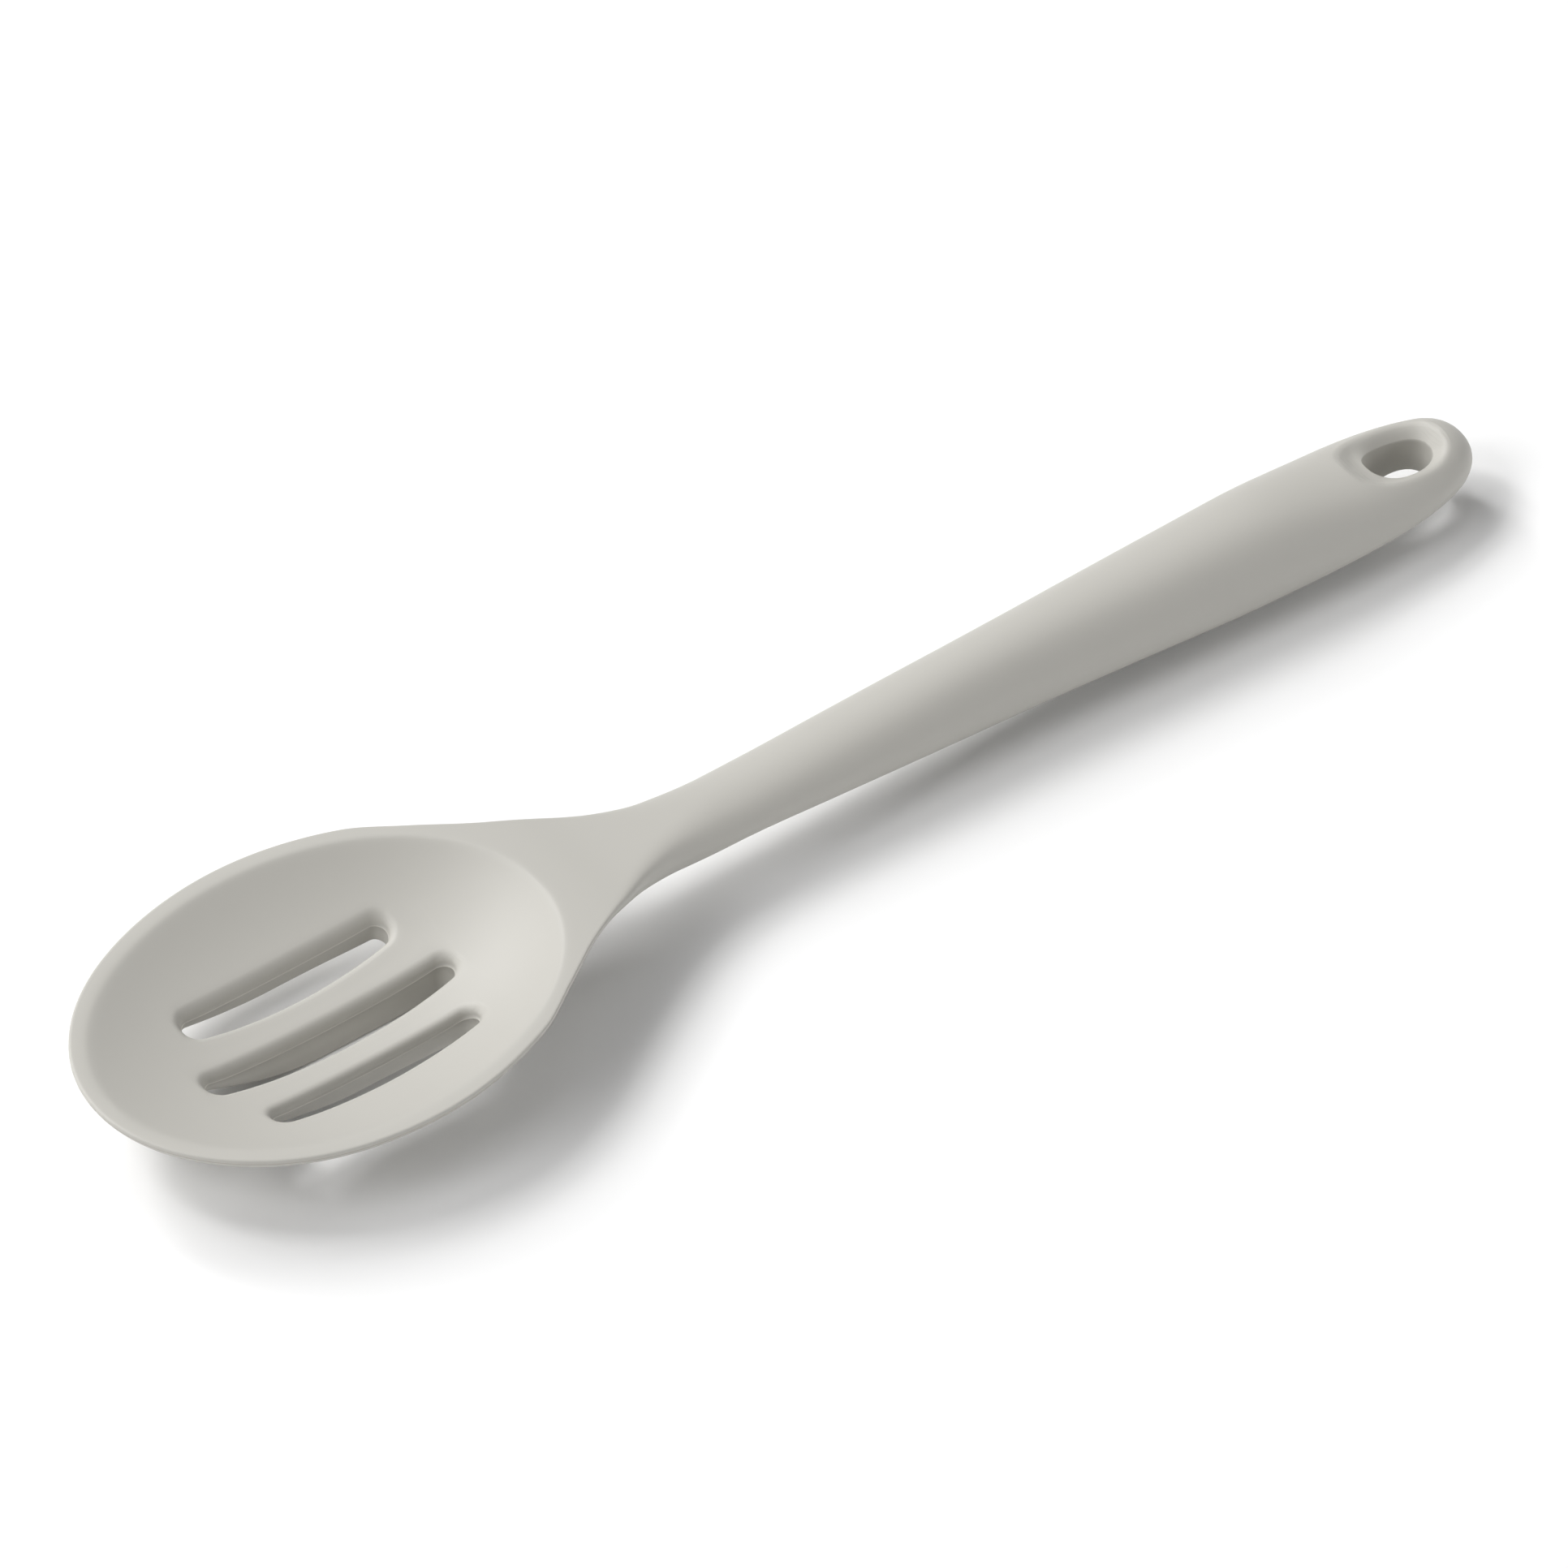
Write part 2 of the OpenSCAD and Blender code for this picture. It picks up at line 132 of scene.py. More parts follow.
def spread(shares, x0, x1, v0, v1):
    """Stations from shares: the first share goes from place x0 to x1, the second from value v0 to v1."""
    return [(x0 + a * (x1 - x0), v0 + b * (v1 - v0)) for a, b in shares]


def arc(t, power=2.0):
    """A quarter of a rounded outline: 1 at t = 0 and 0 at t = 1, one minus t to the power, rooted."""
    return np.maximum(0, 1 - np.clip(t, 0, 1) ** power) ** (1 / power)


print("halfway along a round:", round(float(arc(0.5)), 3), "of its height, a fuller one:",
      round(float(arc(0.5, 4.0)), 3))

# %% The outline seen from above
SHOULDER = spread(
    [(0, 1), (0.3, 0.81), (0.42, 0.59), (0.54, 0.36), (0.66, 0.185), (0.76, 0.06), (0.87, 0), (1, 0)],
    BOWL_NOSE, NECK_AT, HALF_NECK, HALF_BOWL)
GRIP = spread(
    [(0, 0), (0.25, 0.15), (0.45, 0.25), (0.65, 0.57), (0.83, 0.81), (1, 1)],
    NECK_AT, BELLY_AT, HALF_NECK, HALF_HANDLE)


def half_width(x):
    """Half the width at x: a quarter ellipse at the nose, the shoulder's curve, then the grip's curve
    closed by a blunt rounded end."""
    nose = HALF_BOWL * arc((BOWL_NOSE - x) / BOWL_NOSE)
    grip = curve(GRIP, x) * arc((x - BELLY_AT) / BELLY_FROM_END, END_POWER)
    return np.where(x < BOWL_NOSE, nose, np.where(x < NECK_AT, curve(SHOULDER, x), grip))


def drawn_in(x, d):
    """Half the width of the outline drawn in by d: the nose's ellipse loses d on both its axes."""
    d = np.asarray(d, float)
    nose = (HALF_BOWL - d) * arc((BOWL_NOSE - x) / (BOWL_NOSE - d))
    return np.where(x >= BOWL_NOSE, np.maximum(0, half_width(x) - d), np.where(x <= d, 0, nose))


def inset(x, y):
    """How far a point of the plan lies inside the outline: along the ray from the bowl's middle at the
    nose, straight across elsewhere."""
    a = BOWL_NOSE - x
    n = np.maximum(np.hypot(a / BOWL_NOSE, y / HALF_BOWL), 1e-9)
    return np.where(x >= BOWL_NOSE, half_width(x) - y, (1 / n - 1) * np.hypot(a, y))


print("half widths at 20, 47, 90, 128, 262 mm:",
      np.round(half_width(np.array([20, 47, 90, 128, 262.0])), 2))

# %% The top line and the keel line seen from the side
BULK = ([(NECK_AT, NECK_THICK)]
        + spread([(0.14, 0.6), (0.34, 0.8), (0.54, 0.9), (0.7, 1), (0.84, 0.8)],
                 NECK_AT, LENGTH, 0, HANDLE_TOP)
        + [(LENGTH, END_THICK)])
CROWN = (spread([(0, 0), (0.45, -0.18), (1, 1)], 0, BOWL_NOSE, TIP_TOP, RIM_TOP)
         + [((BOWL_NOSE + DISH_END) / 2, (RIM_TOP + 3 * SHOULDER_TOP) / 4),
            (DISH_END - 2 * RIM_BAND, SHOULDER_TOP)]
         + spread([(0.13, 0.79), (0.34, 0.3), (0.62, 0.03)], DISH_END, NECK_AT, NECK_TOP, SHOULDER_TOP)
         + spread([(0, 0), (0.24, 0.34), (0.5, 0.8), (0.78, 0.88), (1, 1)],
                  NECK_AT, BULK[4][0], NECK_TOP, HANDLE_TOP)
         + [(BELLY_AT, END_TOP + 0.5 * (HANDLE_TOP - END_TOP)), (LENGTH, END_TOP)])
KEEL = (spread([(0, 1), (0.17, 0.86), (0.44, 0.48), (0.75, 0.12), (1, 0)],
               0, BOWL_NOSE, 0, TIP_TOP - RIM_THICK)
        + [(DISH_LOW + RIM_THICK, 0)]
        + spread([(0.25, 0.11), (0.38, 0.53), (0.5, 0.88), (0.66, 0.96), (0.86, 0.97), (1, 1)],
                 DISH_LOW, NECK_AT, 0, NECK_UNDER))
CHANGE = spread([(0.05, 0), (1.04, 1)], DISH_END, NECK_AT, 0, 1)


def crown(x):
    """Height of the spoon's top line."""
    return curve(CROWN, x)


def keel(x):
    """Height of the underside's middle line, which never dips below the table."""
    low = np.where(x < NECK_AT, curve(KEEL, x), crown(x) - curve(BULK, x))
    return np.maximum(0, low)


print("tallest point", round(float(crown(np.linspace(0, LENGTH, 600)).max()), 2), "mm")

# %% [markdown]
# ## The rounded edge
#
# Round the bowl the skin ends in a thin edge: nearly square above, and running back under the rim
# below, so that only a thin line shows from above. From the shoulder to the neck this edge grows until
# it is the whole oval section of the handle, so bowl and handle are one surface without a joint.

# %% The edge's round: its powers over and under the rim, and a plain oval's
OVER, UNDER, ROUND = 4.0, 1.2, 2.0


def edge(x):
    """Width, middle height, rise and fall of the rounded edge: from the rim's own values to half the
    section, by the share of the change from bowl to handle."""
    share = curve(CHANGE, x)
    width = RIM_ROUND + (np.maximum(half_width(x), RIM_ROUND) - RIM_ROUND) * share
    rise = RIM_RISE + ((crown(x) - keel(x)) / 2 - RIM_RISE) * share
    middle = crown(x) - rise
    fall = RIM_FALL + (middle - keel(x) - RIM_FALL) * (1 - (1 - share) ** 2)
    return width, middle, rise, fall


def fullness(x, rim):
    """Power of the edge's round: the rim's own on the bowl, and that of a plain oval on the handle."""
    return rim + (ROUND - rim) * curve(CHANGE, x)


def turn(x, y, power):
    """Where a point lies on the edge's round: 1 on the flat, 0 at the outline, a quarter of a rounded
    outline between, and rounded once more at the handle's end."""
    width = edge(x)[0]
    return arc(1 - inset(x, y) / width, power) * arc((x - LENGTH + END_ROUND) / END_ROUND)


print("edge's width, middle, rise and fall at the nose and in the grip:",
      [[round(float(v), 2) for v in edge(np.array(at))] for at in (BOWL_NOSE, BELLY_AT)])

# %% [markdown]
# ## The dish
#
# The dish is a shallow bowl cut into the flat top. A mould never leaves its edge sharp: the polish
# leaves a small radius, which narrows a little from the tip to the neck. The depth is therefore blended
# to zero instead of being cut off at the dish's outline.

# %% The dish's outline and depth
SOFT_FROM, SOFT_TO = (35.0, 0.42), (88.0, 0.35)
DISH_AHEAD, DISH_BEHIND, TIP_GAP = 2.1, 2.6, 0.01


def dish_half(x, grow=0.0):
    """Half the width of the dish's outline grown by some millimetres: two half ellipses that meet at
    the widest place."""
    grow = np.asarray(grow, float)
    nose = arc((BOWL_NOSE - x) / (BOWL_NOSE - RIM_BAND + grow))
    heel = arc((x - BOWL_NOSE) / (DISH_END - BOWL_NOSE + grow))
    inside = (x > RIM_BAND - grow) & (x < DISH_END + grow)
    return np.where(inside, (HALF_DISH + grow) * np.where(x < BOWL_NOSE, nose, heel), 0)


def dish_drop(x, y):
    """Depth of the dish at a point: the middle line's depth less a parabola across, which reaches
    zero at the outline. Half the sum of that depth and the root of its square plus the softness's
    square keeps it from turning negative and rounds the edge. At the two tips both depth and width
    vanish, so the values are taken 0.01 mm inside them."""
    soft = np.interp(x, (SOFT_FROM[0], SOFT_TO[0]), (SOFT_FROM[1], SOFT_TO[1]))
    x = np.where(np.abs(x - DISH_END) < TIP_GAP, DISH_END - TIP_GAP, x)
    x = np.where(np.abs(x - RIM_BAND) < TIP_GAP, RIM_BAND + TIP_GAP, x)
    ahead = np.maximum(DISH_LOW - x, 0) / (DISH_LOW - RIM_BAND)
    behind = np.maximum(x - DISH_LOW, 0) / (DISH_END - DISH_LOW)
    middle = DISH_DEPTH * (1 - ahead ** DISH_AHEAD - behind ** DISH_BEHIND)
    axis = np.where(x < BOWL_NOSE, BOWL_NOSE - RIM_BAND, DISH_END - BOWL_NOSE)
    square = HALF_DISH ** 2 * (1 - ((x - BOWL_NOSE) / axis) ** 2)
    depth = middle - np.clip(middle / square, 0, 1) * y ** 2
    return (depth + np.sqrt(depth ** 2 + soft ** 2)) / 2


print("dish depth at its lowest:", round(float(dish_drop(np.array(DISH_LOW), np.array(0.0))), 2), "mm")

# %% Heights of the top and of the underside
FLAT_SHARE, FLARE = 0.11, 1.45


def top_height(x, y):
    """Height of the top surface before the openings' rounds are taken off."""
    _, middle, rise, _ = edge(x)
    return middle + (rise - dish_drop(x, y)) * turn(x, y, fullness(x, OVER))


def under_height(x, y):
    """Height of the underside: flat beside the middle line, then rising with a power of the way out up
    to the edge's round."""
    width, middle, _, fall = edge(x)
    low = drawn_in(x, width)
    across = np.maximum(0, y / np.maximum(low, 1e-9) - FLAT_SHARE) / (1 - FLAT_SHARE)
    plate = keel(x) + (middle - fall - keel(x)) * np.minimum(across, 1) ** FLARE
    return np.where(y < low - 1e-6, plate, middle - fall * turn(x, y, fullness(x, UNDER)))


print("top and underside at the nose's middle and 15 mm beside it:",
      [[round(float(high(np.array(BOWL_NOSE), y)), 2) for y in (0.0, 15.0)]
       for high in (top_height, under_height)])

# %% [markdown]
# ## The openings
#
# The three slots let the water out and the oval hole takes a hook. Each opening's outline can be
# grown by any distance, and these grown outlines become the mesh's own lines. The round at the
# opening's edge then follows its outline exactly, which a boolean cut would not give.

# %% A slot's outline and the hole's outline, grown
HOLE_POWER = 2.3


def slot_half(x, length, grow, wide):
    """Half the width of a slot at x from its middle, grown: a gently bowed side, from the end's width
    to the middle's, closed by a round end."""
    end_w, mid_w = wide
    straight = (length - end_w) / 2
    end = np.clip((np.abs(x) - straight) / (end_w / 2 + grow), 0, 1)
    along = np.minimum(np.abs(x), straight) + end * end_w / 2
    bow = (mid_w - end_w) / 2 * (1 - (2 * along / length) ** 2)
    return (end_w / 2 + bow + grow) * np.sqrt(1 - end ** 2)


def hole_half(x, side, lead):
    """Half the width of the hanging hole at x from its middle, grown by side across and by lead
    towards the bowl: an oval a little fuller than an ellipse."""
    reach = HOLE_LEN / 2 + np.where(x < 0, lead, side)
    return (HOLE_W / 2 + side) * arc(np.abs(x) / reach, HOLE_POWER)


print("middle slot half widths:",
      np.round(slot_half(np.array([0, 10, 20, 25.0]), SLOTS["middle"][1], 0, ABOVE["middle"]), 2))


# %% The openings in their places
def middle_opening(x, share, face):
    """Half the width of the opening on the middle line, grown by a share of its round, and that share
    itself, which goes on rising past the opening's tip: the slot in the bowl, the hole in the grip."""
    at, length = SLOTS["middle"]
    bowl, grip = x - at, x - HOLE_AT
    side, lead = face["side"], face["lead"]
    half = np.where(x < NECK_AT, slot_half(bowl, length, share * face["lip"], face["middle"]),
                    hole_half(grip, share * side, share * lead))
    past = np.where(x < NECK_AT, (np.abs(bowl) - length / 2) / face["lip"],
                    (np.abs(grip) - HOLE_LEN / 2) / np.where(grip < 0, lead, side))
    return half, np.clip(np.maximum(share, past), 0, 1)


def outer_opening(x, share, face):
    """The same two values for the slots on either side."""
    at, length = SLOTS["outer"]
    half = slot_half(x - at, length, share * face["lip"], face["outer"])
    past = (np.abs(x - at) - length / 2) / face["lip"]
    return half, np.clip(np.maximum(share, past), 0, 1)


print("half widths with the whole round, of the middle slot, the hole and an outer slot:",
      [round(float(middle_opening(at, 1.0, ABOVE)[0]), 2) for at in (SLOTS["middle"][0], HOLE_AT)],
      round(float(outer_opening(SLOTS["outer"][0], 1.0, ABOVE)[0]), 2))

# %% What the rounds take off
FUNNEL_SOFT, FUNNEL_SHARE, SCOOP_SOFT, SCOOP_SHARE = 0.35, 1.4, 0.08, 0.8


def rounding(share, depth):
    """How much a quarter round of that depth takes off at a share of its width."""
    return depth * (1 - np.sqrt(np.maximum(0, 1 - (1 - share) ** 2)))


def scooping(x, share, depth):
    """What is taken off round the hanging hole: a funnel with a soft start, which turns into a shallow
    scoop on the side of the bowl, where a thumbnail finds the hole. With t from 0 at the outline to 1
    at the hole, the funnel is as deep as t, and the scoop as deep as t (2 - t)."""
    towards = np.clip((HOLE_AT - x) / (HOLE_LEN / 2), 0, 1) ** 2
    funnel, scoop = (np.sqrt((1 - share) ** 2 + soft ** 2) - soft for soft in (FUNNEL_SOFT, SCOOP_SOFT))
    return depth * (FUNNEL_SHARE * funnel * (1 - towards) + SCOOP_SHARE * scoop * (2 - scoop) * towards)


print("taken off at a slot's edge and at the hole's:", round(rounding(0.0, ABOVE["lip"]), 2),
      round(float(scooping(HOLE_AT, 0.0, ABOVE["deep"])), 2), "mm")

# %% [markdown]
# ## Where the cross-sections stand
#
# The skin is a grid: cross-sections along the spoon, and lines that run from one to the next. Sections
# stand close together where an outline turns, such as the tips of the slots, and far apart on the
# plain handle. Each tip of a grown outline gets a section of its own, so no line is cut short.

# %% Places of the sections
# Shares of a round's width at equal turns, first for the top and then for the underside
LIP_SHARES = 1 - np.cos(np.radians(np.linspace(0, 90, 8)))
UNDER_SHARES = 1 - np.cos(np.radians(np.linspace(0, 90, 7)))
EDGE_TURNS = np.radians(np.linspace(0, 84, 10))
DISH_OFFSETS = np.array([-1.3, -0.75, -0.35, 0.0, 0.35, 0.75, 1.3])
# In millimetres: places just inside a tip, and the least gap between two sections
NEAR = np.array([0, 0.03, 0.12])
LEAST_GAP = 0.012


def tips(ends, shares, outwards, width):
    """Places at and just inside the tips of grown outlines: the tip, moved out by each share."""
    at = ends + outwards * shares * width
    return (at[:, None] - outwards * NEAR[None, :]).ravel()


# Start, end and spacing of each stretch, and the places where an outline turns
places = [
    BOWL_NOSE * (1 - np.cos(np.radians(np.arange(0, 21, 1.6)))),
    RIM_ROUND * (1 - np.sin(EDGE_TURNS)),
    RIM_BAND - DISH_OFFSETS, np.arange(1.7, 5, 0.14), np.arange(5, 18, 0.8),
    np.arange(18.3, 28.2, 0.24), np.arange(28.4, 66, 1.1), np.arange(66, 76, 0.24),
    np.arange(76, 88.6, 0.8), np.arange(88.6, 92.4, 0.14), DISH_END + DISH_OFFSETS,
    np.arange(92.4, 135, 1.4), np.arange(135, 262, 3.2), np.arange(262.2, 284.4, 0.36),
    BELLY_AT + BELLY_FROM_END * arc(np.linspace(0, 0.9, 22), END_POWER), [LENGTH],
]
for at, length in SLOTS.values():
    for way in (-1, 1):
        for shares, face in ((LIP_SHARES, ABOVE), (UNDER_SHARES, BELOW)):
            places.append(tips(at + way * length / 2, shares, way, face["lip"]))
for way, reach in ((-1, "lead"), (1, "side")):
    for shares, face in ((LIP_SHARES, ABOVE), (UNDER_SHARES, BELOW)):
        places.append(tips(HOLE_AT + way * HOLE_LEN / 2, shares, way, face[reach]))
X = np.unique(np.round(np.concatenate([np.ravel(p) for p in places]), 4))
X = X[np.r_[True, np.diff(X) > LEAST_GAP]]
for at, length in [*SLOTS.values(), (HOLE_AT, HOLE_LEN)]:
    for tip in (at - length / 2, at + length / 2):
        X[np.abs(X - tip).argmin()] = tip
X[0], X[-1] = 0, LENGTH
X = X[:, None]
print("sections:", len(X))

# %% [markdown]
# ## The lines of the top and of the underside
#
# From the middle line outwards, the top's lines are: the round of the middle slot, the web, the round
# of the outer slot on both its sides, the dish, the dish's soft edge, the rim band and the bead. Where
# an opening or the dish has ended, its lines run together, and the points that meet are merged later.


# %% Columns of points from the middle line to the outline
def between(a, b, count):
    """Evenly spaced columns between two columns, without the two themselves: the first plus a share of
    the way to the second."""
    return a + (b - a) * np.linspace(0, 1, count + 2)[None, 1:-1]


def bead(x, start, turns, rise, power):
    """Columns round the edge, from the column start to the outline. They stand at equal turns of the
    round, and the last ones lie 0.3 and 0.1 mm from the outline's line, beside the parting line."""
    width = edge(x)[0]
    first = np.where(x < BOWL_NOSE, 0, np.clip(1 - (half_width(x) - start) / width, 0, 1))
    near = [arc(mm / rise, power) for mm in (0.3, 0.1)]
    begin, end = np.arcsin(first), np.arcsin(near[0])
    angle = begin + (end - begin) * np.linspace(0, 1, turns)[None, :]
    reached = np.concatenate([np.sin(angle), np.maximum(near[1], first), np.ones_like(x)], 1)
    return np.maximum(drawn_in(x, width * (1 - reached)), np.minimum(start, half_width(x)))


print("three columns between 0 and 1:", between(np.zeros((1, 1)), np.ones((1, 1)), 3).round(2).tolist())

# %% Columns round the openings
WEB = 3


def surface(x, limit, shares, face):
    """Columns that the top and the underside share: round of the middle opening, web, and rounds of
    the outer slot. Returns their y and what the rounds take off."""
    y0, s0 = middle_opening(x, shares[None, :], face)
    y1, s1 = outer_opening(x, shares[None, :], face)
    line = np.maximum(np.minimum(SLOT_PITCH, limit / 2), y0[:, -1:])
    inner, outer = line - y1[:, ::-1], line + y1
    web = between(y0[:, -1:], inner[:, :1], WEB)
    hole = scooping(x, s0, face["deep"]) if face is ABOVE else rounding(s0, face["deep"])
    middle = np.where(x < NECK_AT, rounding(s0, face["lip"]), hole)
    off = [middle, np.zeros_like(web), rounding(s1[:, ::-1], face["lip"]), rounding(s1, face["lip"])]
    return np.concatenate([y0, web, inner, outer], 1), np.concatenate(off, 1)


print("columns round the openings:", surface(X[:1], dish_half(X[:1]), LIP_SHARES, ABOVE)[0].shape[1])

# %% The top's points
width_x, _, rise_x, fall_x = edge(X)
dish_x = dish_half(X)
top_y, top_off = surface(X, dish_x, LIP_SHARES, ABOVE)
hollow = top_y[:, len(LIP_SHARES) - 1:len(LIP_SHARES)]
flat = np.maximum(drawn_in(X, width_x), hollow)
soft = np.minimum(np.maximum(dish_half(X, DISH_OFFSETS[None, :]), top_y[:, -1:]), flat)
TOP_Y = np.concatenate([
    top_y, between(top_y[:, -1:], soft[:, :1], 8), soft,
    between(soft[:, -1:], flat, 4), bead(X, flat, 12, rise_x, fullness(X, OVER))], 1)
TOP_OFF = np.zeros_like(TOP_Y)
TOP_OFF[:, :top_off.shape[1]] = top_off
TOP_Z = top_height(X, TOP_Y) - TOP_OFF
print("top:", TOP_Y.shape, "lowest", round(float(TOP_Z.min()), 2), "mm")

# %% The underside's points
low_x = drawn_in(X, width_x)
under_y, under_off = surface(X, low_x, UNDER_SHARES, BELOW)
hollow = under_y[:, len(UNDER_SHARES) - 1:len(UNDER_SHARES)]
low = np.maximum(low_x, hollow)
UNDER_Y = np.concatenate([
    under_y, between(under_y[:, -1:], low, 9), bead(X, low, 10, fall_x, fullness(X, UNDER))], 1)
UNDER_OFF = np.zeros_like(UNDER_Y)
UNDER_OFF[:, :under_off.shape[1]] = under_off
UNDER_Z = under_height(X, UNDER_Y) + UNDER_OFF
print("underside:", UNDER_Y.shape, "highest", round(float(UNDER_Z.max()), 2), "mm")

# %% [markdown]
# ## The walls of the openings
#
# The walls join the top's first line round an opening to the underside's, which is narrower in the
# slots, so their walls lean. The mould's two halves meet just below the round, and leave a fine ridge
# all round each slot. It is a real mark of a moulded part. Its thin light line is a painted highlight:
# the ridge's points are painted lighter than the skin. The hanging hole has none, because its funnel
# ends in a plain wall.

# %% Walls with the ridge that the mould's halves leave
RIDGE_AT, RIDGE_OUT, RIDGE_HALF, RIDGE_SHARE = 0.75, 0.2, 0.16, 0.4
N_TOP, N_UNDER = len(LIP_SHARES), len(UNDER_SHARES)
# The ridge is the third of a wall's six rows
# This row also carries the ridge's painted highlight, a lighter colour on its points.
FLASH = np.array([0, 0, 1, 0, 0, 0])


def wall(top_column, under_column, line_y, centre_x, half_long, half_wide, ridge_out=RIDGE_OUT):
    """Points of one side of an opening, from the top line down to the under line: straight down to
    the ridge, then leaning to the under line. The ridge's row is drawn in towards the opening's
    middle by its height in proportion to the distance from it, and a height of 0 leaves it out."""
    zt, zb = TOP_Z[:, top_column], UNDER_Z[:, under_column]
    yt, yb = TOP_Y[:, top_column, None], UNDER_Y[:, under_column, None]
    ridge = np.minimum(RIDGE_AT, (zt - zb) * RIDGE_SHARE)
    below = ridge + RIDGE_HALF
    down = np.stack([0 * ridge, ridge - RIDGE_HALF, ridge, below, (below + zt - zb) / 2, zt - zb], 1)
    lean = np.clip((down - down[:, 3:4]) / (down[:, 5:] - down[:, 3:4]), 0, 1)
    out = FLASH[None, :] * ridge_out
    x = X - (X - centre_x) * out / half_long
    y = yt + (yb - yt) * lean
    y = y - (y - line_y) * out / half_wide
    z = zt[:, None] - down
    return np.broadcast_to(x, z.shape), y, z


def within(centre, length):
    """Which strips between two sections lie inside an opening."""
    here = (X[:, 0] >= centre - length / 2 - 1e-6) & (X[:, 0] <= centre + length / 2 + 1e-6)
    return here[:-1] & here[1:]


outer_at, under_outer_at = N_TOP + WEB, N_UNDER + WEB
(middle_at, middle_long), (outer_slot_at, outer_long) = SLOTS["middle"], SLOTS["outer"]
WALLS = [
    (wall(0, 0, 0, middle_at, middle_long / 2, SLOT_MID_W / 2), within(middle_at, middle_long), True, 1.0),
    (wall(0, 0, 0, HOLE_AT, HOLE_LEN / 2, HOLE_W / 2, 0.0), within(HOLE_AT, HOLE_LEN), True, 0.0),
    (wall(outer_at + N_TOP - 1, under_outer_at + N_UNDER - 1, SLOT_PITCH, outer_slot_at,
          outer_long / 2, SLOT_MID_W / 2), within(outer_slot_at, outer_long), False, 1.0),
    (wall(outer_at + N_TOP, under_outer_at + N_UNDER, SLOT_PITCH, outer_slot_at,
          outer_long / 2, SLOT_MID_W / 2), within(outer_slot_at, outer_long), True, 1.0),
]
print("wall strips:", [int(w[1].sum()) for w in WALLS])

# %% [markdown]
# ## From grids to one closed skin
#
# Each grid gives its points and its four-cornered faces. The half on the other side of the middle line
# is the same points mirrored, with their faces turned round. Points that meet are merged, so that the
# skin is one closed surface.


# %% Grids to mesh
def grid_faces(columns, keep, turned):
    """Corner numbers of a grid's faces, for the strips and columns that are kept."""
    i, j = np.nonzero(keep)
    a = i * columns + j
    quads = np.stack([a, a + columns, a + columns + 1, a + 1], 1)
    return quads[:, ::-1] if turned else quads


def add_grid(store, x, y, z, keep, turned, parting_line_and_shade, ridge_highlight):
    """Puts a grid and its mirror image into the store, with the marks of the mould's two lines: the
    darker line under the rim, partly painted shade, and the slots' ridge with its painted highlight.
    """
    flat = np.stack([np.broadcast_to(x, z.shape), y, z], 2).reshape(-1, 3)
    faces = grid_faces(z.shape[1], keep, turned)
    for side in (1, -1):
        start = sum(len(p) for p in store["points"])
        store["points"].append(flat * [1, side, 1])
        store["faces"].append((faces if side > 0 else faces[:, ::-1]) + start)
        for name, value in (("parting_line_and_shade", parting_line_and_shade), ("ridge_highlight", ridge_highlight)):
            store[name].append(np.broadcast_to(value, z.shape).ravel())


# The darker line under the rim, partly the parting line's own tint and partly painted shade under the
# rim's edge, fades out between these two stations, where the edge starts to grow
LINE_FADES = (88, 104)
store = {"points": [], "faces": [], "parting_line_and_shade": [], "ridge_highlight": []}
rim_only = np.interp(X, LINE_FADES, (1, 0))
for y, z, gap, turned in ((TOP_Y, TOP_Z, outer_at + N_TOP - 1, False),
                          (UNDER_Y, UNDER_Z, under_outer_at + N_UNDER - 1, True)):
    keep = np.ones((len(X) - 1, y.shape[1] - 1), bool)
    keep[:, gap] = False
    last = np.arange(y.shape[1])[None, :] == y.shape[1] - 1
    add_grid(store, X, y, z, keep, turned, last * rim_only, 0.0)
# Each wall's last value says whether its ridge row gets the painted highlight, a lighter colour.
for (x, y, z), strips, turned, ridge in WALLS:
    keep = np.repeat(strips[:, None], z.shape[1] - 1, 1)
    add_grid(store, x, y, z, keep, turned, 0.0, FLASH * ridge)
# The frame counts from the spoon's middle, and the sizes here from the bowl's tip
points = np.concatenate(store["points"]) - [LENGTH / 2, 0, 0]
faces = np.concatenate(store["faces"])
used = np.unique(faces)
print("grid points:", len(points), "used:", len(used), "faces:", len(faces))

# %% One closed mesh
MERGE_MM = 0.004
number = np.full(len(points), -1)
number[used] = np.arange(len(used))
mesh = bpy.data.meshes.new("silicone_spoon_skin")
mesh.from_pydata((points[used] * MM).tolist(), [], number[faces].tolist())
for name in ("parting_line_and_shade", "ridge_highlight"):
    values = np.concatenate(store[name])[used].astype("f")
    mesh.attributes.new(name, "FLOAT", "POINT").data.foreach_set("value", values)
bm = bmesh.new()
bm.from_mesh(mesh)
bmesh.ops.remove_doubles(bm, verts=bm.verts, dist=MERGE_MM * MM)
bmesh.ops.recalc_face_normals(bm, faces=bm.faces)
loose = [v for v in bm.verts if not v.link_faces]
bmesh.ops.delete(bm, geom=loose, context="VERTS")
print("open edges:", sum(e.is_boundary for e in bm.edges),
      "edges of more than two faces:", sum(len(e.link_faces) > 2 for e in bm.edges),
      "triangles:", sum(len(f.verts) - 2 for f in bm.faces),
      "volume:", round(bm.calc_volume(signed=True) * 1e9), "mm3")
bm.to_mesh(mesh)
bm.free()
mesh.polygons.foreach_set("use_smooth", np.ones(len(mesh.polygons), bool))
skin = bpy.data.objects.new("silicone_spoon_skin", mesh)
bpy.context.scene.collection.objects.link(skin)
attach(skin, BODY)
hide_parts("silicone_skin")
